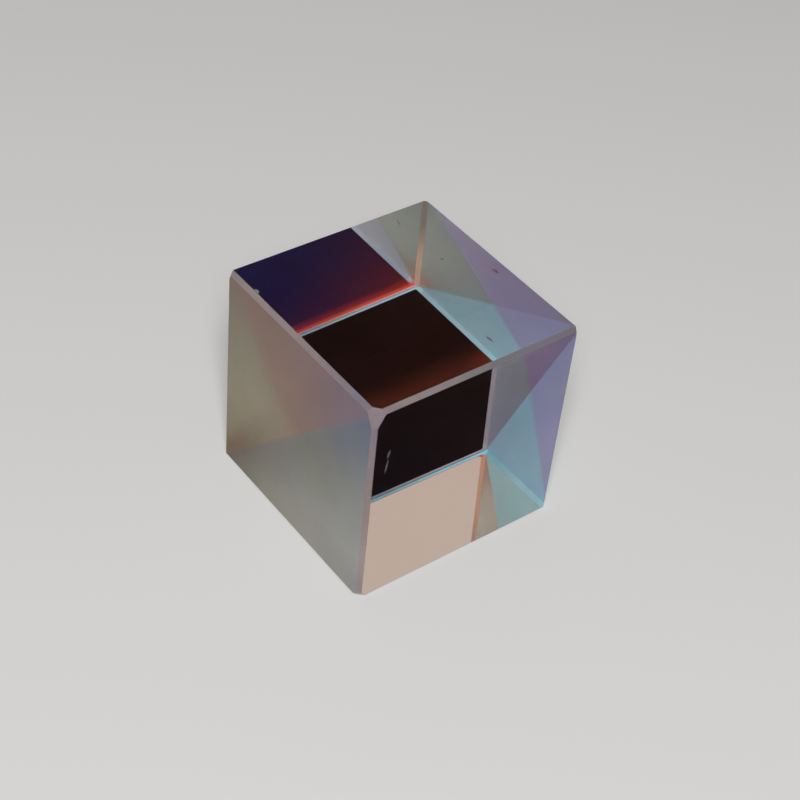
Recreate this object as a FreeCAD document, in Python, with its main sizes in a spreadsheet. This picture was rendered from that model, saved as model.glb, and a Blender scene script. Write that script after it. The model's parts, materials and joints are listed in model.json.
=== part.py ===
import FreeCAD, Part
import Sketcher
import os

# Dichroic combiner prism: four right-angle glass prisms cemented into one block, with two
# colour-reflecting films crossing along its middle line. Millimetres.
# X runs along the line where the four prisms meet, from ground end to ground end.
# -Y is the front face, where the combined light leaves. +Z is up.
# The origin is at the middle of the face that the block rests on.

BLOCK_SIZES = (
    # name, value, what it is
    ("block_length", 19.7, "ground end to ground end, along the middle line"),
    ("block_width", 20.0, "polished front face to polished back face"),
    ("block_height", 20.0, "polished bottom face to polished top face"),
    ("edge_bevel", 0.35, "leg of the ground bevel on all twelve edges"),
    ("film_thickness", 0.01, "one colour-reflecting film"),
    ("cement_thickness", 0.02, "one layer of optical cement"),
)

# The block's corners are ground off by hand after cementing, so no two are alike.
# "across" is what a cut takes off each horizontal edge, "deep" what it takes off the upright one.
CORNERS = (
    # name, side in X, side in Y, side in Z, across, deep
    ("left_front_top", -1, -1, 1, 1.20, 2.10),
    ("left_back_top", -1, 1, 1, 0.70, 1.50),
    ("right_front_top", 1, -1, 1, 0.75, 1.60),
    ("right_back_top", 1, 1, 1, 0.90, 1.20),
    ("left_front_bottom", -1, -1, -1, 1.10, 0.90),
    ("left_back_bottom", -1, 1, -1, 0.85, 0.55),
    ("right_front_bottom", 1, -1, -1, 0.60, 0.60),
    ("right_back_bottom", 1, 1, -1, 0.80, 0.70),
)

# Each prism by the face that it carries: the angle about X that turns +Y to point from
# that face to the middle line, the size across its face, and the size away from it.
PRISMS = (
    ("output_prism", 0, "sizes.block_height", "sizes.block_width"),
    ("green_input_prism", 180, "sizes.block_height", "sizes.block_width"),
    ("red_input_prism", 90, "sizes.block_width", "sizes.block_height"),
    ("blue_input_prism", -90, "sizes.block_width", "sizes.block_height"),
)

# The two diagonal planes, by the way each climbs from front to back.
# The red-reflecting plane falls from the top front edge to the bottom back edge.
# The blue-reflecting plane rises from the bottom front edge to the top back edge.
RED_PLANE = -1
BLUE_PLANE = 1

# A film lies on the upper side of its plane and the cement under it, half the pair
# each side of the true diagonal. Heights are measured square to the plane.
PAIR = "(sizes.film_thickness + sizes.cement_thickness)"
PAIR_BOTTOM = f"(0 - {PAIR} / 2)"
FILM_BOTTOM = f"({PAIR} / 2 - sizes.film_thickness)"

# The block's diagonal, seen from its end, and the share of it that is width and height.
DIAGONAL = "sqrt(sizes.block_width^2 + sizes.block_height^2)"
WIDTH_SHARE = f"(sizes.block_width / {DIAGONAL})"
HEIGHT_SHARE = f"(sizes.block_height / {DIAGONAL})"

ALONG_X = FreeCAD.Vector(1, 0, 0)

# The slope of a diagonal plane in a square block, in degrees. Each plate starts at it,
# so that it turns about X, and then takes its true slope from the block's own sizes.
CUBE_DIAGONAL = 45


def make_sheet(doc):
    """The driving sizes, one named cell each."""
    sheet = doc.addObject("Spreadsheet::Sheet", "sizes")
    rows = [(name, value, note) for name, value, note in BLOCK_SIZES]
    for name, _, _, _, across, deep in CORNERS:
        rows.append((f"{name}_across", across, "corner cut, along each horizontal edge"))
        rows.append((f"{name}_deep", deep, "corner cut, along the upright edge"))
    for row, (name, value, note) in enumerate(rows, start=1):
        sheet.set(f"A{row}", name)
        sheet.set(f"B{row}", str(value))
        sheet.set(f"C{row}", note)
        sheet.setAlias(f"B{row}", name)
    return sheet


def bind(item, expressions):
    for name, expression in expressions.items():
        item.setExpression(name, expression)


def make_bevelled_block(doc):
    """The cemented block as one outline, with all twelve edges bevelled."""
    body = doc.addObject("PartDesign::Body", "bevelled_block")
    sketch = body.newObject("Sketcher::SketchObject", "block_footprint")
    floor = [item for item in body.Origin.OriginFeatures if item.Role == "XY_Plane"][0]
    sketch.AttachmentSupport = [(floor, "")]
    sketch.MapMode = "FlatFace"

    points = [FreeCAD.Vector(x, y, 0) for x, y in ((-1, -1), (1, -1), (1, 1), (-1, 1))]
    for start, end in zip(points, points[1:] + points[:1]):
        sketch.addGeometry(Part.LineSegment(start, end), False)
    front, right, back, left = range(4)
    start, end, origin = 1, 2, (-1, 1)
    for side, following in ((front, right), (right, back), (back, left), (left, front)):
        sketch.addConstraint(Sketcher.Constraint("Coincident", side, end, following, start))
    for side in (front, back):
        sketch.addConstraint(Sketcher.Constraint("Horizontal", side))
    for side in (right, left):
        sketch.addConstraint(Sketcher.Constraint("Vertical", side))
    sketch.addConstraint(Sketcher.Constraint("Symmetric", front, start, right, end, *origin))
    length = sketch.addConstraint(Sketcher.Constraint("DistanceX", front, start, front, end, 2))
    width = sketch.addConstraint(Sketcher.Constraint("DistanceY", right, start, right, end, 2))
    bind(sketch, {
        f"Constraints[{length}]": "sizes.block_length",
        f"Constraints[{width}]": "sizes.block_width",
    })

    pad = body.newObject("PartDesign::Pad", "block_height_pad")
    pad.Profile = sketch
    pad.setExpression("Length", "sizes.block_height")
    doc.recompute()

    bevels = body.newObject("PartDesign::Chamfer", "edge_bevels")
    bevels.Base = (pad, [])
    bevels.UseAllEdges = True
    bevels.setExpression("Size", "sizes.edge_bevel")
    sketch.Visibility = False
    return body


def make_corner_cut(doc, name, side_x, side_y, side_z):
    """A roof-shaped tool whose sloping face is the plane that the corner is ground to."""
    tool = doc.addObject("Part::Wedge", f"{name}_cut")
    across = f"sizes.{name}_across"
    deep = f"sizes.{name}_deep"
    # The tool's Y goes from above the corner down the upright edge, and its Z goes in
    # towards the block's middle. The slope starts one depth outside the block.
    bind(tool, {
        "Xmin": f"0 - 4 * {across}",
        "Xmax": f"4 * {across}",
        "X2min": f"0 - 4 * {across}",
        "X2max": f"4 * {across}",
        "Ymin": f"0 - {deep}",
        "Ymax": deep,
        "Zmax": f"sqrt(2) * {across}",
    })
    tool.Zmin = tool.Z2min = tool.Z2max = 0
    inward = FreeCAD.Vector(-side_x, -side_y, 0).normalize()
    down_edge = FreeCAD.Vector(0, 0, -side_z)
    turned = FreeCAD.Rotation(down_edge.cross(inward), down_edge, inward, "ZYX")
    tool.Placement = FreeCAD.Placement(FreeCAD.Vector(0, 0, 0), turned)
    bind(tool, {
        "Placement.Base.x": f"{side_x} * sizes.block_length / 2",
        "Placement.Base.y": f"{side_y} * sizes.block_width / 2",
        "Placement.Base.z": f"(1 + {side_z}) * sizes.block_height / 2",
    })
    return tool


def make_block_outline(doc):
    """The outside of the finished block, corners cut, which every piece is trimmed to."""
    cuts = doc.addObject("Part::MultiFuse", "corner_cuts")
    cuts.Shapes = [make_corner_cut(doc, *corner[:4]) for corner in CORNERS]
    outline = doc.addObject("Part::Cut", "block_outline")
    outline.Base = make_bevelled_block(doc)
    outline.Tool = cuts
    return outline


def trim(doc, name, blank, outline):
    """One finished piece: its blank, trimmed to the block's outline."""
    piece = doc.addObject("Part::Common", name)
    piece.Label = name
    piece.Base = outline
    piece.Tool = blank
    return piece


def make_prism(doc, outline, name, turn, face_size, depth_size):
    """One of the four glass prisms, its right angle at the middle line."""
    blank = doc.addObject("Part::Wedge", f"{name}_blank")
    # The ridge stands back from the middle line, so that each leg face leaves room for
    # half a film and cement pair. The blank reaches half a block past its own face.
    ridge = f"({PAIR} / 2 * {DIAGONAL} / {face_size})"
    half_base = f"(({depth_size} - {ridge}) * {face_size} / {depth_size})"
    bind(blank, {
        "Xmin": "0 - sizes.block_length",
        "Xmax": "sizes.block_length",
        "X2min": "0 - sizes.block_length",
        "X2max": "sizes.block_length",
        "Ymin": f"0 - {depth_size}",
        "Ymax": f"0 - {ridge}",
        "Zmin": f"0 - {half_base}",
        "Zmax": half_base,
        "Placement.Base.z": "sizes.block_height / 2",
    })
    blank.Z2min = blank.Z2max = 0
    blank.Placement.Rotation = FreeCAD.Rotation(ALONG_X, turn)
    return trim(doc, name, blank, outline)


def make_plate(doc, name, plane, start, length, bottom, thickness):
    """A plate along one diagonal plane, wider than the block.

    start is where it begins and bottom how high its underside lies, both measured
    from the middle line: start along the plane towards the back, bottom square to it.
    """
    plate = doc.addObject("Part::Box", name)
    plate.Placement.Rotation = FreeCAD.Rotation(ALONG_X, CUBE_DIAGONAL)
    bind(plate, {
        "Length": "2 * sizes.block_length",
        "Width": length,
        "Height": thickness,
        "Placement.Rotation.Angle": f"{plane} * atan(sizes.block_height / sizes.block_width)",
        "Placement.Base.x": "0 - sizes.block_length",
        "Placement.Base.y": f"{start} * {WIDTH_SHARE} - {plane} * {bottom} * {HEIGHT_SHARE}",
        "Placement.Base.z": (
            f"sizes.block_height / 2 + {plane} * {start} * {HEIGHT_SHARE}"
            f" + {bottom} * {WIDTH_SHARE}"
        ),
    })
    return plate


def make_red_layers(doc, outline):
    """The film and cement that run unbroken from edge to edge of the block."""
    span = (f"(0 - {DIAGONAL})", f"2 * {DIAGONAL}")
    film = make_plate(doc, "red_film_blank", RED_PLANE, *span, FILM_BOTTOM, "sizes.film_thickness")
    cement = make_plate(
        doc, "main_cement_blank", RED_PLANE, *span, PAIR_BOTTOM, "sizes.cement_thickness"
    )
    return [
        trim(doc, "red_reflecting_film", film, outline),
        trim(doc, "main_cement_layer", cement, outline),
    ]


def make_blue_layers(doc, outline):
    """The film and cement of the other plane, each in two parts that the red pair divides."""
    span = (f"(0 - {DIAGONAL})", f"2 * {DIAGONAL}")
    divider = make_plate(doc, "red_pair_divider", RED_PLANE, *span, PAIR_BOTTOM, PAIR)
    pieces = []
    for half, start in (("upper", "0"), ("lower", f"(0 - {DIAGONAL})")):
        for name, bottom, thickness in (
            (f"blue_reflecting_film_{half}", FILM_BOTTOM, "sizes.film_thickness"),
            (f"{half}_cement_layer", PAIR_BOTTOM, "sizes.cement_thickness"),
        ):
            whole = make_plate(
                doc, f"{name}_blank", BLUE_PLANE, start, DIAGONAL, bottom, thickness
            )
            divided = doc.addObject("Part::Cut", f"{name}_divided")
            divided.Base = whole
            divided.Tool = divider
            pieces.append(trim(doc, name, divided, outline))
    return pieces


def check(doc, pieces):
    """Stop if anything failed to build or is not one closed solid."""
    for item in doc.Objects:
        if "Invalid" in item.State or "Error" in item.State:
            raise RuntimeError(f"{item.Name} did not build: {item.State}")
    for piece in pieces:
        shape = piece.Shape
        if shape.isNull() or not shape.isValid() or len(shape.Solids) != 1:
            raise RuntimeError(f"{piece.Label} is not one valid solid")


def main():
    doc = FreeCAD.newDocument("combiner_prism")
    make_sheet(doc)
    doc.recompute()
    outline = make_block_outline(doc)
    pieces = [make_prism(doc, outline, *prism) for prism in PRISMS]
    pieces += make_red_layers(doc, outline)
    pieces += make_blue_layers(doc, outline)
    doc.recompute()
    check(doc, pieces)

    os.makedirs("parts", exist_ok=True)
    for piece in pieces:
        piece.Shape.exportStep(f"parts/{piece.Label}.step")
        print(f"{piece.Label}: {piece.Shape.Volume:.4f} mm3")


main()
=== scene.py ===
"""Looks of a 20 mm dichroic combiner prism, a cube of four cemented glass prisms.

Light really bends through the four prisms here, so the dark, blue and cream windows in the top and
front faces come from the glass, its two crossed coatings and the studio round it. Four faces are
polished and coated against reflections. The two ends, the bevels and the corners are fine-ground.
Much of their colour is painted light: the light that the coatings split is painted onto the ground
ends as a pale tint for each prism, with painted shade just under the red coating, onto two far
bevels as painted lines, and, where the red coating ends, as painted lines, a painted haze on the
back face and a painted warm fan on the far end.
"""

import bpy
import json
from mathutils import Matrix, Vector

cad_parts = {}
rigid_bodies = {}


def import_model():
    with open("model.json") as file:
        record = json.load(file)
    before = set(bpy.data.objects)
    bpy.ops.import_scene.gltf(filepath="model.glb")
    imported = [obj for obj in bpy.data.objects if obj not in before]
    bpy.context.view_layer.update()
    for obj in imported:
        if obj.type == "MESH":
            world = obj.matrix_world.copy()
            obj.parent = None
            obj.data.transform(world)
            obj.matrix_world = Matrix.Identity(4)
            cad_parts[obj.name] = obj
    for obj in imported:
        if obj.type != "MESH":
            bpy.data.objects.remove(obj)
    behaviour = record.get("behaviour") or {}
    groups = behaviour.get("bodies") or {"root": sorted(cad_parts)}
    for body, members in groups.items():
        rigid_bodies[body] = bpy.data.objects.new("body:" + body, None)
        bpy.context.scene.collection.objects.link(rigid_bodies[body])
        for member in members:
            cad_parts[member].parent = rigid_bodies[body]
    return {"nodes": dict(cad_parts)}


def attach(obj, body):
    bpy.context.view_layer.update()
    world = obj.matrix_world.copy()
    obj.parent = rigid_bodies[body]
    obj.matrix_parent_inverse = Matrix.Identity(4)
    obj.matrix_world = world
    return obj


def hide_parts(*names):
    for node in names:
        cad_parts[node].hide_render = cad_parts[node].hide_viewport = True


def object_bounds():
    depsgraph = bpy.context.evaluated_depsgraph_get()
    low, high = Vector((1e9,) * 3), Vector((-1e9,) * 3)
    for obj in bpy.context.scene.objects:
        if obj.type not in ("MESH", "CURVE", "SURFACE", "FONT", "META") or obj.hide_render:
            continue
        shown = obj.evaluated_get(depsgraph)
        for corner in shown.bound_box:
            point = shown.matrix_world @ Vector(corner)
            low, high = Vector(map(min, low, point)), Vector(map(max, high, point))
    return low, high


bl_info = {
    "name": "Dichroic Combiner Prism",
    "version": (1, 0, 0),
    "blender": (4, 5, 0),
    "location": "View3D > Sidebar > Combiner Prism",
    "description": "Finishes the glass cube, lays its crossed coatings and sets it in a pale studio",
    "category": "Object",
}

import json
import math

import bmesh
import bpy
from bpy.props import FloatProperty, FloatVectorProperty, PointerProperty
from bpy.types import Operator, Panel, PropertyGroup
from mathutils import Vector

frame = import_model()

MM = 0.001
LOW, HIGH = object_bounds()
LENGTH, WIDTH, HEIGHT = HIGH - LOW
CENTRE = (LOW + HIGH) / 2
END_TO_END = Vector((1, 0, 0))
BACK = Vector((0, 1, 0))
UP = Vector((0, 0, 1))
RED_NORMAL = Vector((0, HEIGHT, WIDTH)).normalized()
BLUE_NORMAL = Vector((0, HEIGHT, -WIDTH)).normalized()
PRISMS = ("output_prism", "green_input_prism", "red_input_prism", "blue_input_prism")
CEMENT_LAYERS = ("main_cement_layer", "upper_cement_layer", "lower_cement_layer")
COATINGS = {
    "red_coating_plate": ("red_reflecting_film", RED_NORMAL),
    "blue_coating_plate_upper": ("blue_reflecting_film_upper", BLUE_NORMAL),
    "blue_coating_plate_lower": ("blue_reflecting_film_lower", BLUE_NORMAL),
}
STAGES = ("steep", "leaning", "design", "grazing", "skimming", "flat")
FLOOR = "studio_floor"

# Each mark on the top or front face by its middle in mm, half its length, half its width and the
# way that it runs
NICKS = (
    ((-9.42, 6.43, 20.0), 0.36, 0.24, (0.3, 1.0, 0.0)),
    ((-6.42, -9.70, 20.0), 0.10, 0.06, (1.0, 0.0, 0.0)),
)
SCUFFS = (
    ((-8.22, -10.0, 15.35), 0.50, 0.15, (0.25, 0.0, 1.0)),
    ((-8.32, -10.0, 14.10), 0.85, 0.12, (0.18, 0.0, 1.0)),
    ((-4.00, -10.0, 13.45), 0.40, 0.045, (0.8, 0.0, -1.0)),
)
SPECKS = (
    ((5.71, 2.43, 20.0), 0.16, 0.14, (1.0, 0.0, 0.0)),
    ((8.48, -1.02, 20.0), 0.46, 0.20, (0.13, -1.0, 0.0)),
    ((2.71, -7.47, 20.0), 0.46, 0.12, (0.02, -1.0, 0.0)),
    ((5.61, 8.22, 20.0), 0.60, 0.06, (0.3, 1.0, 0.0)),
)

# A bevel lies within BEVEL_REACH of the planes that meet at its edge, a face within SKIN of its own
BEVEL_REACH = 0.5 * MM
SKIN = 0.01 * MM
# Most of a noise texture's values lie between these two
NOISE_LOW, NOISE_HIGH = 0.3, 0.7


def colour(name, description, default):
    """A colour that a user would change."""
    return FloatVectorProperty(
        name=name, description=description, default=default, subtype="COLOR", size=3, min=0.0, max=1.0
    )


def number(name, description, default, **extra):
    """A number that a user would change."""
    return FloatProperty(name=name, description=description, default=default, **extra)


def share(name, description, default):
    """A share from 0 to 1 that a user would change."""
    return number(name, description, default, subtype="FACTOR")


def size(name, description, default_mm):
    """A length that a user would change, its default in mm."""
    return number(name, description, default_mm * MM, unit="LENGTH", precision=6)


def turn(name, description, default_degrees):
    """An angle that a user would change, its default in degrees."""
    return number(name, description, math.radians(default_degrees), unit="ROTATION")


class GlassFinish(PropertyGroup):
    """The glass, its polish and the fine-ground ends, bevels and corners."""

    refractive_index: number("Refractive Index", "How far the glass bends light", 1.517, min=1.0)
    polish: colour("Polish", "What a polished face passes", (0.99, 0.995, 0.993))
    cement: colour("Cement", "What the cement's own edge passes", (0.98, 0.97, 0.94))
    coat_residue: share("Coat Residue", "What a coated face still mirrors", 0.002)
    veil: share("Veil", "Share of light that a trace of film on the top scatters", 0.009)
    side_veil: share("Side Veil", "The same share on the other polished faces", 0.00225)
    veil_tint: colour("Veil Tint", "Colour of that trace", (0.80, 0.34, 0.27))
    speck_tint: colour("Speck Tint", "What the specks of dirt pass", (0.70, 0.20, 0.32))
    chip_tint: colour("Chip Tint", "Bare glass of nicks and scuffs, and dust", (0.27, 0.25, 0.25))
    scuff_strength: share("Scuff Strength", "How much of the polish a scuff takes", 0.3)
    dust_strength: share("Dust Strength", "How much of the polish a dust fleck hides", 0.4)
    dust_spacing: size("Dust Spacing", "Distance between dust flecks", 1.0)
    dust_size: size("Dust Size", "Radius of the largest dust fleck", 0.06)
    ground_roughness: share("Ground Roughness", "Roughness of a ground face", 0.7)
    ground_passed: colour("Ground Passed", "Lamp light that ground faces let in", (0.5, 0.5, 0.5))
    ground_haze: share("Ground Haze", "Share of light that a ground face scatters", 0.4)
    grain_size: size("Grain Size", "Size of the grinding grain", 0.05)
    grain_depth: size("Grain Depth", "Depth of the grinding grain", 0.004)
    cloud_size: size("Cloud Size", "Size of the faint clouds in the grind", 3.0)
    cloud_depth: share("Cloud Depth", "How far the clouds darken the grind", 0.10)
    # Painted light, not the glass's own colour: the light that the coatings split, painted onto each
    # prism's ground end, near and far ends each their own
    top_tint: colour("Top Tint", "Ground glass of the top prism", (0.305, 0.172, 0.137))
    back_tint: colour("Back Tint", "Ground glass of the back prism", (0.26, 0.215, 0.147))
    front_tint: colour("Front Tint", "Ground glass of the front prism", (0.56, 0.56, 0.51))
    bottom_tint: colour("Bottom Tint", "Ground glass of the bottom prism", (0.52, 0.54, 0.54))
    far_top_tint: colour("Far Top Tint", "Far ground end of the top prism", (0.25, 0.20, 0.22))
    far_back_tint: colour("Far Back Tint", "Far ground end of the back prism", (0.29, 0.35, 0.31))
    far_front_tint: colour("Far Front Tint", "Far ground end of the front prism", (0.42, 0.38, 0.55))
    far_bottom_tint: colour("Far Bottom Tint", "Far ground end of the bottom prism", (0.44, 0.84, 1.0))
    red_blend: size("Red Blend", "How softly tints meet at the red coating", 0.4)
    blue_blend: size("Blue Blend", "How softly tints meet at the blue coating", 4.0)
    far_blue_blend: size("Far Blue Blend", "The same at the far end", 0.8)
    # Painted shade: the end tints darken towards the red coating, to these shares at its line
    line_shade: share("Line Shade", "Share of the tint left just under the red coating", 0.33)
    far_line_shade: share("Far Line Shade", "The same share at the far end", 0.85)
    bevel_tint: colour("Bevel Tint", "Ground bevels and corners", (0.335, 0.275, 0.265))
    low_bevel_tint: colour("Low Bevel Tint", "Ground bevels near the foot", (0.50, 0.47, 0.45))
    # Painted light: a warm line low on the far back upright bevel, darker above, and a cyan line along the
    # far foot bevel
    upright_tint: colour("Upright Tint", "Lower half of the far back upright bevel", (0.66, 0.42, 0.33))
    upright_top_tint: colour("Upright Top Tint", "Upper half of that bevel", (0.28, 0.24, 0.21))
    foot_tint: colour("Foot Tint", "Bevel along the foot of the far end", (0.38, 0.64, 0.82))
    rear_bevel: share("Rear Bevel", "Share of light that those two bevels scatter", 0.9)
    # Painted light where the red coating ends: warm and cool lines, a haze on the back face and a warm fan
    # on the far end, all colours laid on by place
    glow_width: size("Glow Width", "Reach of the glow at the red coating's back edge", 0.5)
    cyan_glow: colour("Cyan Glow", "The glow's outer cool line", (0.46, 0.90, 1.0))
    deep_glow: colour("Deep Glow", "The glow's dark blue line", (0.03, 0.12, 0.42))
    lilac_glow: colour("Lilac Glow", "The glow's inner cool line", (0.55, 0.60, 0.85))
    dark_glow: colour("Dark Glow", "The dark line between cool and warm ones", (0.05, 0.06, 0.11))
    pink_glow: colour("Pink Glow", "The glow's inner warm line", (1.0, 0.62, 0.50))
    red_glow: colour("Red Glow", "The glow's outer warm line", (1.0, 0.07, 0.02))
    haze_reach: size("Haze Reach", "How far the glow hazes the back face", 3.2)
    fan_tint: colour("Fan Tint", "Warm fan on the far end above the red coating's end", (0.62, 0.30, 0.20))
    fan_reach: size("Fan Reach", "How far that fan reaches", 7.0)


class CoatingFinish(PropertyGroup):
    """The two crossed coatings: what each passes and mirrors by the angle inside the glass."""

    seat_gap: size("Seat Gap", "Gap each side of a coating plate", 0.001)
    steep: turn("Steep", "Up to this angle the steep colours hold", 24.5)
    leaning: turn("Leaning", "The leaning colours hold at this angle", 28.5)
    design: turn("Design", "The angle that the coatings are made for", 45)
    grazing: turn("Grazing", "The grazing colours hold at this angle", 70.5)
    skimming: turn("Skimming", "The skimming colours hold at this angle", 73.4)
    flat: turn("Flat", "Past this angle the flat colours hold", 79)
    red_pass_steep: colour("Red Pass Steep", "Passed at steep angles", (0.96, 0.89, 0.87))
    red_pass_leaning: colour("Red Pass Leaning", "Passed at leaning angles", (0.96, 0.70, 0.74))
    red_pass_design: colour("Red Pass Design", "Passed at the design angle", (0.15, 0.75, 0.85))
    red_pass_grazing: colour("Red Pass Grazing", "Passed at grazing angles", (0.63, 1.0, 1.0))
    red_pass_skimming: colour("Red Pass Skimming", "Passed at skimming angles", (0.38, 0.18, 0.18))
    red_pass_flat: colour("Red Pass Flat", "Passed at flat angles", (0.55, 0.85, 0.95))
    red_mirror_steep: colour("Red Mirror Steep", "Mirrored at steep angles", (0.12, 0.015, 0.010))
    red_mirror_leaning: colour("Red Mirror Leaning", "Mirrored at leaning angles", (0.20, 0.012, 0.006))
    red_mirror_design: colour("Red Mirror Design", "Mirrored at the design angle", (0.75, 0.10, 0.05))
    red_mirror_grazing: colour("Red Mirror Grazing", "Mirrored at grazing angles", (0.38, 0.06, 0.022))
    red_mirror_skimming: colour("Red Mirror Skimming", "Mirrored at skimming angles", (0.42, 0.40, 0.44))
    red_mirror_flat: colour("Red Mirror Flat", "Mirrored at flat angles", (0.40, 0.30, 0.30))
    blue_pass_steep: colour("Blue Pass Steep", "Passed at steep angles", (0.93, 0.88, 0.80))
    blue_pass_leaning: colour("Blue Pass Leaning", "Passed at leaning angles", (0.88, 0.92, 0.92))
    blue_pass_design: colour("Blue Pass Design", "Passed at the design angle", (0.85, 0.80, 0.15))
    blue_pass_grazing: colour("Blue Pass Grazing", "Passed at grazing angles", (0.85, 0.85, 0.80))
    blue_pass_skimming: colour("Blue Pass Skimming", "Passed at skimming angles", (0.80, 0.80, 0.78))
    blue_pass_flat: colour("Blue Pass Flat", "Passed at flat angles", (0.80, 0.80, 0.78))
    blue_mirror_steep: colour("Blue Mirror Steep", "Mirrored at steep angles", (0.004, 0.010, 0.070))
    blue_mirror_leaning: colour("Blue Mirror Leaning", "Mirrored at leaning angles", (0.003, 0.002, 0.010))
    blue_mirror_design: colour("Blue Mirror Design", "Mirrored at the design angle", (0.05, 0.12, 0.75))
    blue_mirror_grazing: colour("Blue Mirror Grazing", "Mirrored at grazing angles", (0.10, 0.10, 0.15))
    blue_mirror_skimming: colour("Blue Mirror Skimming", "Mirrored at skimming angles", (0.15, 0.15, 0.18))
    blue_mirror_flat: colour("Blue Mirror Flat", "Mirrored at flat angles", (0.15, 0.15, 0.18))


class StudioSettings(PropertyGroup):
    """The pale floor, the soft lamps and the camera."""

    floor: colour("Floor", "The pale floor", (0.72, 0.71, 0.70))
    floor_half: number("Floor Half Width", "From the middle of the floor to its edge", 3.0, unit="LENGTH")
    floor_gap: size("Floor Gap", "Air under the cube's polished bottom", 0.02)
    backdrop: number("Backdrop", "Brightness of the pale backdrop", 0.70, min=0.0)
    ceiling: number("Ceiling", "Brightness of the dark ceiling", 0.03, min=0.0)
    backdrop_side: turn("Backdrop Side", "Where the backdrop stands", 50)
    backdrop_rise: turn("Backdrop Rise", "How much higher it reaches there", 12)
    cove_low: turn("Cove Low", "Where the backdrop starts to darken", 23)
    cove_high: turn("Cove High", "Where the ceiling begins", 28.5)
    fill: number("Fill", "Light that comes from all round", 0.02, min=0.0)
    key_power: number("Key Power", "Power of the key lamp in watts", 7.0, min=0.0)
    card_brightness: number("Card Brightness", "Brightness of the panel behind", 0.54, min=0.0)
    card_colour: colour("Card Colour", "Colour of the panel behind", (1.0, 0.88, 0.76))
    side_power: number("Side Power", "Power of the low side lamp in watts", 0.85, min=0.0)
    side_colour: colour("Side Colour", "Colour of the low side lamp", (0.84, 0.93, 1.0))
    focal_length: number("Focal Length", "Focal length in mm on a 36 mm sensor", 76.7, min=1.0)


def add_node(tree, kind, inputs=None, **settings):
    """Adds a node. inputs maps a socket's name or number to a value or to another node's output."""
    node = tree.nodes.new(kind)
    for name, value in settings.items():
        setattr(node, name, value)
    for key, value in (inputs or {}).items():
        socket = node.inputs[key]
        if isinstance(value, bpy.types.NodeSocket):
            tree.links.new(value, socket)
        elif socket.type == "RGBA":
            socket.default_value = (*value, 1.0)
        else:
            socket.default_value = value
    return node


def maths(tree, operation, *values):
    """One Math node on numbers or outputs."""
    return add_node(tree, "ShaderNodeMath", dict(enumerate(values)), operation=operation).outputs[0]


def times(tree, first, *others):
    """The product of numbers or outputs."""
    for other in others:
        first = maths(tree, "MULTIPLY", first, other)
    return first


def greatest(tree, first, *others):
    """The greatest of numbers or outputs."""
    for other in others:
        first = maths(tree, "MAXIMUM", first, other)
    return first


def over(tree, value, limit):
    """1 where value is over limit, and 0 elsewhere."""
    return maths(tree, "GREATER_THAN", value, limit)


def under(tree, value, limit):
    """1 where value is under limit, and 0 elsewhere."""
    return maths(tree, "LESS_THAN", value, limit)


def along(tree, vector, direction):
    """How far a vector output reaches along a fixed direction."""
    node = add_node(tree, "ShaderNodeVectorMath", {0: vector, 1: direction}, operation="DOT_PRODUCT")
    return node.outputs["Value"]


def from_plane(tree, place, normal):
    """How far a place lies from the plane through the cube's centre, and on which side of it."""
    return maths(tree, "SUBTRACT", along(tree, place, normal), CENTRE.dot(normal))


def offset_from(tree, place, start):
    """The way from a fixed point to a place."""
    return add_node(tree, "ShaderNodeVectorMath", {0: place, 1: start}, operation="SUBTRACT").outputs[0]


def distance_from(tree, place, start, kept):
    """Distance from a point, or from a line where one of the kept directions is left out."""
    inputs = {0: offset_from(tree, place, start), 1: kept}
    offset = add_node(tree, "ShaderNodeVectorMath", inputs, operation="MULTIPLY").outputs[0]
    return add_node(tree, "ShaderNodeVectorMath", {0: offset}, operation="LENGTH").outputs["Value"]


def remap(tree, value, start, end, low=0.0, high=1.0, smooth=False):
    """Takes start..end to low..high, clamped."""
    node = add_node(
        tree,
        "ShaderNodeMapRange",
        {"Value": value, "From Min": start, "From Max": end, "To Min": low, "To Max": high},
        interpolation_type="SMOOTHSTEP" if smooth else "LINEAR",
    )
    return node.outputs["Result"]


def noise(tree, place, scale, detail):
    """The values of a noise texture with scale waves to the metre."""
    inputs = {"Vector": place, "Scale": scale, "Detail": detail}
    return add_node(tree, "ShaderNodeTexNoise", inputs).outputs["Fac"]


def darken(tree, tint, strength):
    """A colour output scaled by strength."""
    inputs = {0: tint, "Scale": strength}
    return add_node(tree, "ShaderNodeVectorMath", inputs, operation="SCALE").outputs[0]


def blend_shaders(tree, factor, first, second):
    """Mix Shader: first where factor is 0, second where it is 1."""
    return add_node(tree, "ShaderNodeMixShader", {0: factor, 1: first, 2: second}).outputs[0]


def blend_colours(tree, factor, first, second):
    """Mix Color: first where factor is 0, second where it is 1."""
    node = add_node(tree, "ShaderNodeMix", data_type="RGBA")
    for name, kind, value in (("Factor", "VALUE", factor), ("A", "RGBA", first), ("B", "RGBA", second)):
        socket = next(s for s in node.inputs if s.name == name and s.type == kind)
        if isinstance(value, bpy.types.NodeSocket):
            tree.links.new(value, socket)
        else:
            socket.default_value = value if kind == "VALUE" else (*value, 1.0)
    return next(s for s in node.outputs if s.type == "RGBA")


def colour_scale(tree, value, low, high, stops):
    """Colours along value, each stop a place from 0, at low, to 1, at high, and its colour."""
    ramp = tree.nodes.new("ShaderNodeValToRGB")
    tree.links.new(remap(tree, value, low, high), ramp.inputs[0])
    elements = ramp.color_ramp.elements
    while len(elements) < len(stops):
        elements.new(0.5)
    for element, (position, tint) in zip(elements, stops):
        element.position = position
        element.color = (*tint, 1.0)
    return ramp.outputs["Color"]


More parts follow.
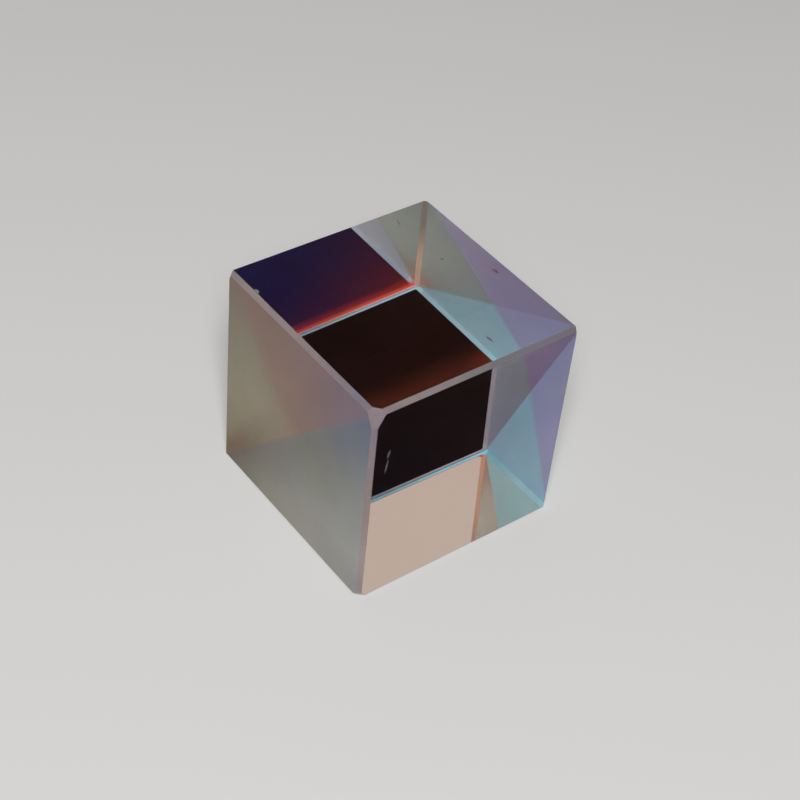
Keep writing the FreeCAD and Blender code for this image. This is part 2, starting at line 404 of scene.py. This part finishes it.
def new_group(name, **outputs):
    """An empty shader group with named outputs, its object coordinates and its output node."""
    group = bpy.data.node_groups.new(name, "ShaderNodeTree")
    for label, kind in outputs.items():
        group.interface.new_socket(label, in_out="OUTPUT", socket_type=f"NodeSocket{kind}")
    place = group.nodes.new("ShaderNodeTexCoord").outputs["Object"]
    return group, place, group.nodes.new("NodeGroupOutput")


def use_group(tree, name):
    """The outputs of a shared group in a material."""
    return add_node(tree, "ShaderNodeGroup", node_tree=bpy.data.node_groups[name]).outputs


def face_kinds_group():
    """Masks that tell ground faces and cemented joints from polished faces."""
    group, place, out = new_group("face kinds", Joint="Float", Ground="Float")
    normal = group.nodes.new("ShaderNodeNewGeometry").outputs["True Normal"]
    square_on = 0.999
    joint_reach = 0.1 * MM

    def faces(direction):
        return over(group, maths(group, "ABSOLUTE", along(group, normal, direction)), square_on)

    joints = []
    for direction in (RED_NORMAL, BLUE_NORMAL):
        reach = maths(group, "ABSOLUTE", from_plane(group, place, direction))
        joints.append(times(group, faces(direction), under(group, reach, joint_reach)))
    joint = greatest(group, *joints)
    polished = greatest(group, faces(BACK), faces(UP))
    ground = maths(group, "SUBTRACT", maths(group, "SUBTRACT", 1.0, polished), joint)
    group.links.new(joint, out.inputs["Joint"])
    group.links.new(ground, out.inputs["Ground"])
    return group


def painted_end_light(group, glass, above, behind, reach):
    """Painted light on the ground ends: a pale tint for each prism, the colour of the light between
    the two coatings, with painted shade just under the red coating.
    """
    shade_start, shade_end = -12 * MM, -0.5 * MM
    over_red = remap(group, above, -glass.red_blend / 2, glass.red_blend / 2, smooth=True)
    ends = []
    for end in ("", "far_"):
        blend = getattr(glass, f"{end}blue_blend")
        least = getattr(glass, f"{end}line_shade")
        top, back, front, bottom = (
            getattr(glass, f"{end}{part}_tint") for part in ("top", "back", "front", "bottom")
        )
        over_blue = remap(group, behind, -blend / 2, blend / 2, smooth=True)
        # Painted shade: darker towards the red coating
        shade = remap(group, above, shade_start, shade_end, 1.0, least, smooth=True)
        lower = darken(group, blend_colours(group, over_blue, front, bottom), shade)
        ends.append(blend_colours(group, over_red, lower, blend_colours(group, over_blue, top, back)))
    far = remap(group, reach, -LENGTH / 4, LENGTH / 4, smooth=True)
    return blend_colours(group, far, *ends)


def bevel_tints(group, glass, at_far_end, depth, height):
    """The tint of the bevels and corners, and a mask of the two bevels that carry painted light: the
    upright at the far end's back and the one along its foot, which stand behind clear glass."""
    pale_below, plain_above = 2 * MM, 12 * MM
    climb_start, climb_end = 0.3 * HEIGHT, 0.75 * HEIGHT
    low = remap(group, height, plain_above, pale_below, smooth=True)
    tint = blend_colours(group, low, glass.bevel_tint, glass.low_bevel_tint)
    upright = times(group, over(group, depth, HIGH.y - BEVEL_REACH), at_far_end)
    foot = times(group, under(group, height, LOW.z + BEVEL_REACH), at_far_end)
    rear = times(group, greatest(group, upright, foot), under(group, height, HIGH.z - BEVEL_REACH))
    # Painted light on those two bevels: warm low on the upright, darker above it, cyan along the foot
    climb = remap(group, height, climb_start, climb_end, smooth=True)
    rear_tint = blend_colours(group, climb, glass.upright_tint, glass.upright_top_tint)
    rear_tint = blend_colours(group, foot, rear_tint, glass.foot_tint)
    return blend_colours(group, rear, tint, rear_tint), rear


def painted_split_light(group, glass, above):
    """Painted light: cool lines under the red coating and warm ones over it, where light splits at
    its end.
    """
    half_band = 0.25 * MM
    return colour_scale(group, above, -half_band, half_band, (
        (0.0, glass.cyan_glow), (0.32, glass.cyan_glow),
        (0.37, glass.deep_glow), (0.42, glass.deep_glow),
        (0.48, glass.lilac_glow), (0.57, glass.lilac_glow),
        (0.62, glass.dark_glow), (0.68, glass.dark_glow),
        (0.74, glass.pink_glow), (0.82, glass.pink_glow),
        (0.92, glass.red_glow),
    ))


def tints_and_painted_light(group, glass, place):
    """Tints of the ground ends and bevels, much of them painted light, how much they scatter, and the
    painted haze of light on the back face where the red coating ends along the cube's back-bottom edge."""
    above = from_plane(group, place, RED_NORMAL)
    behind = from_plane(group, place, BLUE_NORMAL)
    reach, depth, height = (along(group, place, axis) for axis in (END_TO_END, BACK, UP))
    hair = 0.0001 * MM
    on_an_end = over(group, maths(group, "ABSOLUTE", reach), HIGH.x - hair)
    bevel = maths(group, "SUBTRACT", 1.0, on_an_end)
    at_far_end = over(group, reach, HIGH.x - BEVEL_REACH)
    bevel_tint, rear = bevel_tints(group, glass, at_far_end, depth, height)
    rear = times(group, rear, bevel)
    tint = blend_colours(group, bevel, painted_end_light(group, glass, above, behind, reach), bevel_tint)

    # Painted light: light caught at the red coating's end is painted as warm and cool lines, with a
    # painted spot at the corner
    width = glass.glow_width
    fade = 0.2 * width
    spot_reach = 2.0 * width
    spot_top = 0.1 * MM
    away = distance_from(group, place, (0.0, HIGH.y, LOW.z), (0.0, 1.0, 1.0))
    corner = distance_from(group, place, (HIGH.x, HIGH.y, LOW.z), (1.0, 1.0, 1.0))
    spot = remap(group, corner, spot_reach + fade, spot_reach)
    spot = times(group, spot, under(group, above, spot_top))
    glow = greatest(group, remap(group, away, width + fade, width), spot)
    glow = times(group, glow, bevel, over(group, reach, LOW.x + BEVEL_REACH))

    # The painted light also hazes the back face near that edge, and fans out over the far ground end
    # as a painted warm fan
    core = 0.35 * MM
    faintest = 0.0001
    haze_falloff, fan_falloff, fan_scatter = 2.0, 1.5, 0.7
    haze = maths(group, "POWER", remap(group, away, glass.haze_reach, core), haze_falloff)
    haze = times(group, haze, over(group, depth, HIGH.y - SKIN), bevel)
    glow = greatest(group, glow, over(group, haze, faintest))
    tint = blend_colours(group, glow, tint, painted_split_light(group, glass, above))
    fan = maths(group, "POWER", remap(group, away, glass.fan_reach, core), fan_falloff)
    fan = times(group, fan, over(group, above, 0.0), at_far_end, on_an_end)
    tint = blend_colours(group, fan, tint, glass.fan_tint)
    scatter = greatest(group, times(group, rear, glass.rear_bevel), glow, times(group, fan, fan_scatter))
    return tint, scatter, haze


def grind_and_painted_light_group(glass):
    """The finish that fine grinding leaves, a close grain and faint clouds, with the coatings' light
    painted onto the ground faces as pale tints, lines, haze and a fan.
    """
    group, place, out = new_group(
        "fine grind", Tint="Color", Roughness="Float", Normal="Vector", Scatter="Float", Haze="Float"
    )
    spread, bump_strength = 0.08, 0.6
    grain = noise(group, place, 1 / glass.grain_size, 2.0)
    clouds = noise(group, place, 1 / glass.cloud_size, 3.0)
    tint, scatter, haze = tints_and_painted_light(group, glass, place)
    shade = remap(group, clouds, NOISE_LOW, NOISE_HIGH, 1.0 - glass.cloud_depth, 1.0)
    rough = glass.ground_roughness
    relief = {"Height": grain, "Strength": bump_strength, "Distance": glass.grain_depth}
    results = {
        "Tint": darken(group, tint, shade),
        "Roughness": remap(group, grain, NOISE_LOW, NOISE_HIGH, rough - spread, rough + spread),
        "Normal": add_node(group, "ShaderNodeBump", relief).outputs["Normal"],
        "Scatter": scatter,
        "Haze": haze,
    }
    for label, output in results.items():
        group.links.new(output, out.inputs[label])
    return group


def mark_mask(group, place, ragged, mark):
    """1 inside one small ragged mark on a face, and 0 round it."""
    middle, half_length, half_width, run = mark
    half_depth = 0.05
    full_up_to = 0.6
    middle = Vector(middle) * MM
    flat = UP if abs(middle.z - HIGH.z) < MM / 10 else BACK
    run = Vector(run).normalized()
    offset = offset_from(group, place, middle)
    reach = ragged
    for direction, half in ((run, half_length), (flat.cross(run), half_width), (flat, half_depth)):
        part = along(group, offset, direction / (half * MM))
        reach = maths(group, "MULTIPLY_ADD", part, part, reach)
    return remap(group, reach, 1.0, full_up_to)


def marks_group(glass):
    """The few marks of handling: nicks, scuffs and dust that scatter light, and specks that tint it."""
    group, place, out = new_group("handling marks", Bare="Float", Dirt="Float")
    fray_scale = 9000.0
    outward, inward = -0.3, 0.9
    fray = noise(group, place, fray_scale, 2.0)
    ragged = remap(group, fray, NOISE_LOW, NOISE_HIGH, outward, inward)
    bare = 0.0
    for marks, strength in ((NICKS, 1.0), (SCUFFS, glass.scuff_strength)):
        for mark in marks:
            bare = greatest(group, times(group, mark_mask(group, place, ragged, mark), strength), bare)
    dirt = 0.0
    for mark in SPECKS:
        dirt = greatest(group, mark_mask(group, place, ragged, mark), dirt)
    cells = {"Vector": place, "Scale": 1 / glass.dust_spacing}
    dust = add_node(group, "ShaderNodeTexVoronoi", cells, feature="F1")
    largest = glass.dust_size / glass.dust_spacing
    radius = times(group, along(group, dust.outputs["Color"], (1.0, 0.0, 0.0)), largest)
    fleck = times(group, under(group, dust.outputs["Distance"], radius), glass.dust_strength)
    group.links.new(greatest(group, bare, fleck), out.inputs["Bare"])
    group.links.new(dirt, out.inputs["Dirt"])
    return group


def ground_glass(tree, glass, grind):
    """Shader of fine-ground glass: part blurs what is behind it and part scatters light both ways."""
    # Shares of the scattered light that go on through a plain face and through one painted to glow
    plain, glowing = 0.5, 0.15
    tint, rough, normal, scatter = (grind[name] for name in ("Tint", "Roughness", "Normal", "Scatter"))
    blurred = add_node(
        tree,
        "ShaderNodeBsdfPrincipled",
        {"Base Color": tint, "Roughness": rough, "Normal": normal, "IOR": glass.refractive_index,
         "Transmission Weight": 1.0},
    )
    back = add_node(tree, "ShaderNodeBsdfDiffuse", {"Color": tint, "Normal": normal})
    through = add_node(tree, "ShaderNodeBsdfTranslucent", {"Color": tint, "Normal": normal})
    passed = remap(tree, scatter, 0.0, 1.0, plain, glowing)
    scattered = blend_shaders(tree, passed, back.outputs[0], through.outputs[0])
    hazy = remap(tree, scatter, 0.0, 1.0, glass.ground_haze, 1.0)
    return blend_shaders(tree, hazy, blurred.outputs[0], scattered)


def polished_glass(tree, glass, passed, dirt, haze, ground):
    """Shader of polished, coated glass: it mirrors almost nothing until light is wholly turned back."""
    # Up to this Fresnel share the coating takes the reflection away
    coated_below = 0.25
    fresnel = add_node(tree, "ShaderNodeFresnel", {"IOR": glass.refractive_index}).outputs[0]
    mirrored = remap(tree, fresnel, coated_below, 1.0, glass.coat_residue, 1.0)
    dirty = blend_colours(tree, dirt, passed, glass.speck_tint)
    bent = add_node(
        tree, "ShaderNodeBsdfRefraction", {"Color": dirty, "Roughness": 0.0, "IOR": glass.refractive_index}
    )
    mirror = add_node(tree, "ShaderNodeBsdfGlossy", {"Color": (1.0, 1.0, 1.0), "Roughness": 0.0})
    # Near the back-bottom edge the mirrored share turns into ground glass with a painted haze of light
    hazed = blend_shaders(tree, haze, mirror.outputs[0], ground)
    veil = add_node(tree, "ShaderNodeBsdfDiffuse", {"Color": glass.veil_tint})
    height = along(tree, tree.nodes.new("ShaderNodeTexCoord").outputs["Object"], UP)
    on_top = over(tree, height, HIGH.z - SKIN)
    settled = remap(tree, on_top, 0.0, 1.0, glass.side_veil, glass.veil)
    clear = blend_shaders(tree, settled, bent.outputs[0], veil.outputs[0])
    return blend_shaders(tree, mirrored, clear, hazed)


def new_material(name):
    """An empty node material and its output."""
    material = bpy.data.materials.new(name)
    material.use_nodes = True
    tree = material.node_tree
    tree.nodes.clear()
    return material, tree, tree.nodes.new("ShaderNodeOutputMaterial")


def prism_glass(name, glass, passed):
    """Polished faces, ground faces and clear cemented joints in one material."""
    material, tree, out = new_material(name)
    kinds = use_group(tree, "face kinds")
    marks = use_group(tree, "handling marks")
    grind = use_group(tree, "fine grind")
    ground = ground_glass(tree, glass, grind)
    polished = polished_glass(tree, glass, passed, marks["Dirt"], grind["Haze"], ground)
    chipped = add_node(tree, "ShaderNodeBsdfDiffuse", {"Color": glass.chip_tint})
    worn = blend_shaders(tree, marks["Bare"], polished, chipped.outputs[0])
    outside = blend_shaders(tree, kinds["Ground"], worn, ground)
    # Lamps reach the ground faces from inside the cube, and the floor under it stays in its shadow
    from_lamp = tree.nodes.new("ShaderNodeLightPath").outputs["Is Shadow Ray"]
    inside = tree.nodes.new("ShaderNodeNewGeometry").outputs["Backfacing"]
    open_tint = blend_colours(tree, kinds["Ground"], passed, glass.ground_passed)
    open_way = add_node(tree, "ShaderNodeBsdfTransparent", {"Color": open_tint})
    outside = blend_shaders(tree, times(tree, from_lamp, inside), outside, open_way.outputs[0])
    joint = add_node(tree, "ShaderNodeBsdfTransparent")
    surface = blend_shaders(tree, kinds["Joint"], outside, joint.outputs[0])
    tree.links.new(surface, out.inputs["Surface"])
    return material


def coating_material(name, coating, hue, glass):
    """A dichroic coating: it passes one band and mirrors the other, and both shift with the angle."""
    material, tree, out = new_material(name)
    # At a blend of one half, Facing is 1 less the cosine of the angle
    facing = add_node(tree, "ShaderNodeLayerWeight", {"Blend": 0.5}).outputs["Facing"]

    def by_angle(action):
        stops = []
        for stage in STAGES:
            tint = getattr(coating, f"{hue}_{action}_{stage}")
            stops.append((1 - math.cos(getattr(coating, stage)), tint))
        return colour_scale(tree, facing, 0.0, 1.0, stops)

    passed = add_node(tree, "ShaderNodeBsdfTransparent", {"Color": by_angle("pass")})
    mirrored = add_node(tree, "ShaderNodeBsdfGlossy", {"Color": by_angle("mirror"), "Roughness": 0.0})
    stack = add_node(tree, "ShaderNodeAddShader", {0: passed.outputs[0], 1: mirrored.outputs[0]})
    # The plate has two large faces, and light meets the coating once, on its way in
    leaving = tree.nodes.new("ShaderNodeNewGeometry").outputs["Backfacing"]
    clear = add_node(tree, "ShaderNodeBsdfTransparent")
    plate = blend_shaders(tree, leaving, stack.outputs[0], clear.outputs[0])
    # The plate's ground rim takes the ground glass with its painted light
    rim = ground_glass(tree, glass, use_group(tree, "fine grind"))
    surface = blend_shaders(tree, use_group(tree, "face kinds")["Ground"], plate, rim)
    tree.links.new(surface, out.inputs["Surface"])
    return material


def link(name, data):
    """A new object at the origin in the scene."""
    thing = bpy.data.objects.new(name, data)
    bpy.context.scene.collection.objects.link(thing)
    return thing


class OBJECT_OT_finish_prisms(Operator):
    """Give the four prisms and the cement between them their polished, ground and cemented faces"""

    bl_idname = "object.finish_prisms"
    bl_label = "Finish Prisms"

    def execute(self, context):
        glass = context.scene.glass_finish
        face_kinds_group()
        grind_and_painted_light_group(glass)
        marks_group(glass)
        clear = prism_glass("polished_and_ground_glass", glass, glass.polish)
        cement = prism_glass("clear_optical_cement", glass, glass.cement)
        for names, material in ((PRISMS, clear), (CEMENT_LAYERS, cement)):
            for name in names:
                slots = frame["nodes"][name].data.materials
                slots.clear()
                slots.append(material)
        return {"FINISHED"}


class OBJECT_OT_lay_coatings(Operator):
    """Lay the red-reflecting and blue-reflecting coatings as thin plates in their seats"""

    bl_idname = "object.lay_coatings"
    bl_label = "Lay Coatings"

    def execute(self, context):
        coating = context.scene.coating_finish
        glass = context.scene.glass_finish
        finishes = {}
        for hue in ("red", "blue"):
            finishes[hue] = coating_material(f"{hue}_reflecting_coating", coating, hue, glass)
        for name, (node, direction) in COATINGS.items():
            hue = node.split("_")[0]
            plate = self.plate(name, node, direction, coating.seat_gap)
            plate.data.materials.append(finishes[hue])
            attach(plate, "root")
            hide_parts(node)
        return {"FINISHED"}

    def plate(self, name, node, direction, gap):
        """The coating's own solid with its two large faces drawn in, clear of the glass beside them."""
        shape = bmesh.new()
        shape.from_mesh(frame["nodes"][node].data)
        bmesh.ops.remove_doubles(shape, verts=shape.verts, dist=0.1 * gap)
        heights = [corner.co.dot(direction) for corner in shape.verts]
        middle = (min(heights) + max(heights)) / 2
        for corner in shape.verts:
            corner.co -= direction * math.copysign(gap, corner.co.dot(direction) - middle)
        mesh = bpy.data.meshes.new(name)
        shape.to_mesh(mesh)
        shape.free()
        return link(name, mesh)


class OBJECT_OT_set_studio(Operator):
    """Set the pale floor, the soft lamps, the backdrop and the camera"""

    bl_idname = "object.set_studio"
    bl_label = "Set Studio"

    # Each lamp's middle and the lengths of its two sides, in metres
    KEY_LAMP = ((-0.34, -0.41, 0.56), (0.24, 0.24))
    CARD_BEHIND = ((0.2566, 0.2797, 0.3968), (0.084, 0.080))
    SIDE_LAMP = ((0.33, -0.30, 0.05), (0.30, 0.08))
    WHITE = (1.0, 1.0, 1.0)
    # The camera's place in mm and its turn in degrees, fitted to the photo
    CAMERA_PLACE = (-67.65, -80.18, 102.15)
    CAMERA_TURN = (48.341, -4.664, -36.363)

    def execute(self, context):
        studio = context.scene.studio_settings
        self.floor(studio)
        self.world(context.scene, studio)
        self.lamps(studio)
        self.camera(context.scene, studio)
        context.scene.view_settings.view_transform = "Standard"
        cycles = context.scene.cycles
        cycles.max_bounces = 32
        cycles.transmission_bounces = 32
        cycles.transparent_max_bounces = 32
        cycles.glossy_bounces = 16
        # Light that the cube gathers onto the floor is left out, so its underside stays dark
        cycles.caustics_refractive = False
        cycles.caustics_reflective = False
        return {"FINISHED"}

    def floor(self, studio):
        """A wide matte floor just under the cube."""
        half = studio.floor_half
        mesh = bpy.data.meshes.new(FLOOR)
        corners = [(-half, -half), (half, -half), (half, half), (-half, half)]
        mesh.from_pydata([(x, y, LOW.z - studio.floor_gap) for x, y in corners], [], [(0, 1, 2, 3)])
        material, tree, out = new_material(FLOOR)
        finish = {"Base Color": studio.floor, "Roughness": 0.9, "Specular IOR Level": 0.0}
        matte = add_node(tree, "ShaderNodeBsdfPrincipled", finish)
        tree.links.new(matte.outputs[0], out.inputs["Surface"])
        mesh.materials.append(material)
        link(FLOOR, mesh)

    def world(self, scene, studio):
        """A pale backdrop that darkens to the ceiling, seen in the glass too, and an even low fill."""
        world = bpy.data.worlds.new("studio")
        world.use_nodes = True
        scene.world = world
        tree = world.node_tree
        tree.nodes.clear()
        rise, side = studio.backdrop_rise, studio.backdrop_side
        lean = (-math.sin(rise) * math.cos(side), -math.sin(rise) * math.sin(side), math.cos(rise))
        upward = along(tree, tree.nodes.new("ShaderNodeTexCoord").outputs["Generated"], lean)
        cove = (math.sin(studio.cove_low), math.sin(studio.cove_high))
        brightness = remap(tree, upward, *cove, studio.backdrop, studio.ceiling, smooth=True)
        seen = add_node(tree, "ShaderNodeBackground", {"Strength": brightness})
        fill = add_node(tree, "ShaderNodeBackground", {"Strength": studio.fill})
        ray = tree.nodes.new("ShaderNodeLightPath").outputs
        sight = greatest(tree, *(ray[f"Is {kind} Ray"] for kind in ("Camera", "Glossy", "Transmission")))
        out = tree.nodes.new("ShaderNodeOutputWorld")
        tree.links.new(blend_shaders(tree, sight, fill.outputs[0], seen.outputs[0]), out.inputs["Surface"])

    def lamps(self, studio):
        """A key light, a card that the lower front window shows, and a low lamp for the block alone."""
        # A square metre of card at a brightness of 1 gives pi watts
        card_power = studio.card_brightness * math.pi * math.prod(self.CARD_BEHIND[1])
        self.lamp("key_lamp", *self.KEY_LAMP, studio.key_power, self.WHITE)
        self.lamp("card_behind", *self.CARD_BEHIND, card_power, studio.card_colour)
        side = self.lamp("side_lamp", *self.SIDE_LAMP, studio.side_power, studio.side_colour)
        # It stands low, so it would burn out the floor beside it and glare in the top face
        side.visible_glossy = False
        block = bpy.data.collections.new("prism block")
        for piece in bpy.data.objects:
            if piece.type == "MESH" and piece.name != FLOOR:
                block.objects.link(piece)
        side.light_linking.receiver_collection = block

    def lamp(self, name, place, sides, power, tint):
        """A soft lamp that faces the middle of the cube."""
        light = bpy.data.lights.new(name, "AREA")
        light.shape = "RECTANGLE"
        light.size, light.size_y = sides
        light.energy = power
        light.color = tint
        lamp = link(name, light)
        lamp.visible_camera = False
        lamp.location = place
        lamp.rotation_euler = (CENTRE - Vector(place)).to_track_quat("-Z", "Y").to_euler()
        return lamp

    def camera(self, scene, studio):
        """The camera at the photo's angle and distance."""
        view = bpy.data.cameras.new("camera")
        view.lens = studio.focal_length
        view.sensor_width = 36.0
        view.clip_start = 0.001
        view.clip_end = 20.0
        camera = link("camera", view)
        camera.location = Vector(self.CAMERA_PLACE) * MM
        camera.rotation_euler = [math.radians(angle) for angle in self.CAMERA_TURN]
        scene.camera = camera


STEPS = (OBJECT_OT_finish_prisms, OBJECT_OT_lay_coatings, OBJECT_OT_set_studio)
SETTINGS = {"glass_finish": GlassFinish, "coating_finish": CoatingFinish, "studio_settings": StudioSettings}


class VIEW3D_PT_combiner_prism(Panel):
    """Lists the steps and the sizes and colours that they use"""

    bl_label = "Combiner Prism"
    bl_idname = "VIEW3D_PT_combiner_prism"
    bl_space_type = "VIEW_3D"
    bl_region_type = "UI"
    bl_category = "Combiner Prism"

    def draw(self, context):
        for step in STEPS:
            self.layout.operator(step.bl_idname)
        for name, group in SETTINGS.items():
            box = self.layout.box()
            for label in group.__annotations__:
                box.prop(getattr(context.scene, name), label)


CLASSES = (*SETTINGS.values(), *STEPS, VIEW3D_PT_combiner_prism)


def register():
    """Makes the settings, the steps and the panel known to Blender."""
    for cls in CLASSES:
        bpy.utils.register_class(cls)
    for name, group in SETTINGS.items():
        setattr(bpy.types.Scene, name, PointerProperty(type=group))


def unregister():
    """Takes them out again."""
    for name in SETTINGS:
        delattr(bpy.types.Scene, name)
    for cls in reversed(CLASSES):
        bpy.utils.unregister_class(cls)


def main():
    """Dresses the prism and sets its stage."""
    register()
    bpy.ops.object.finish_prisms()
    bpy.ops.object.lay_coatings()
    bpy.ops.object.set_studio()


if __name__ == "__main__":
    main()
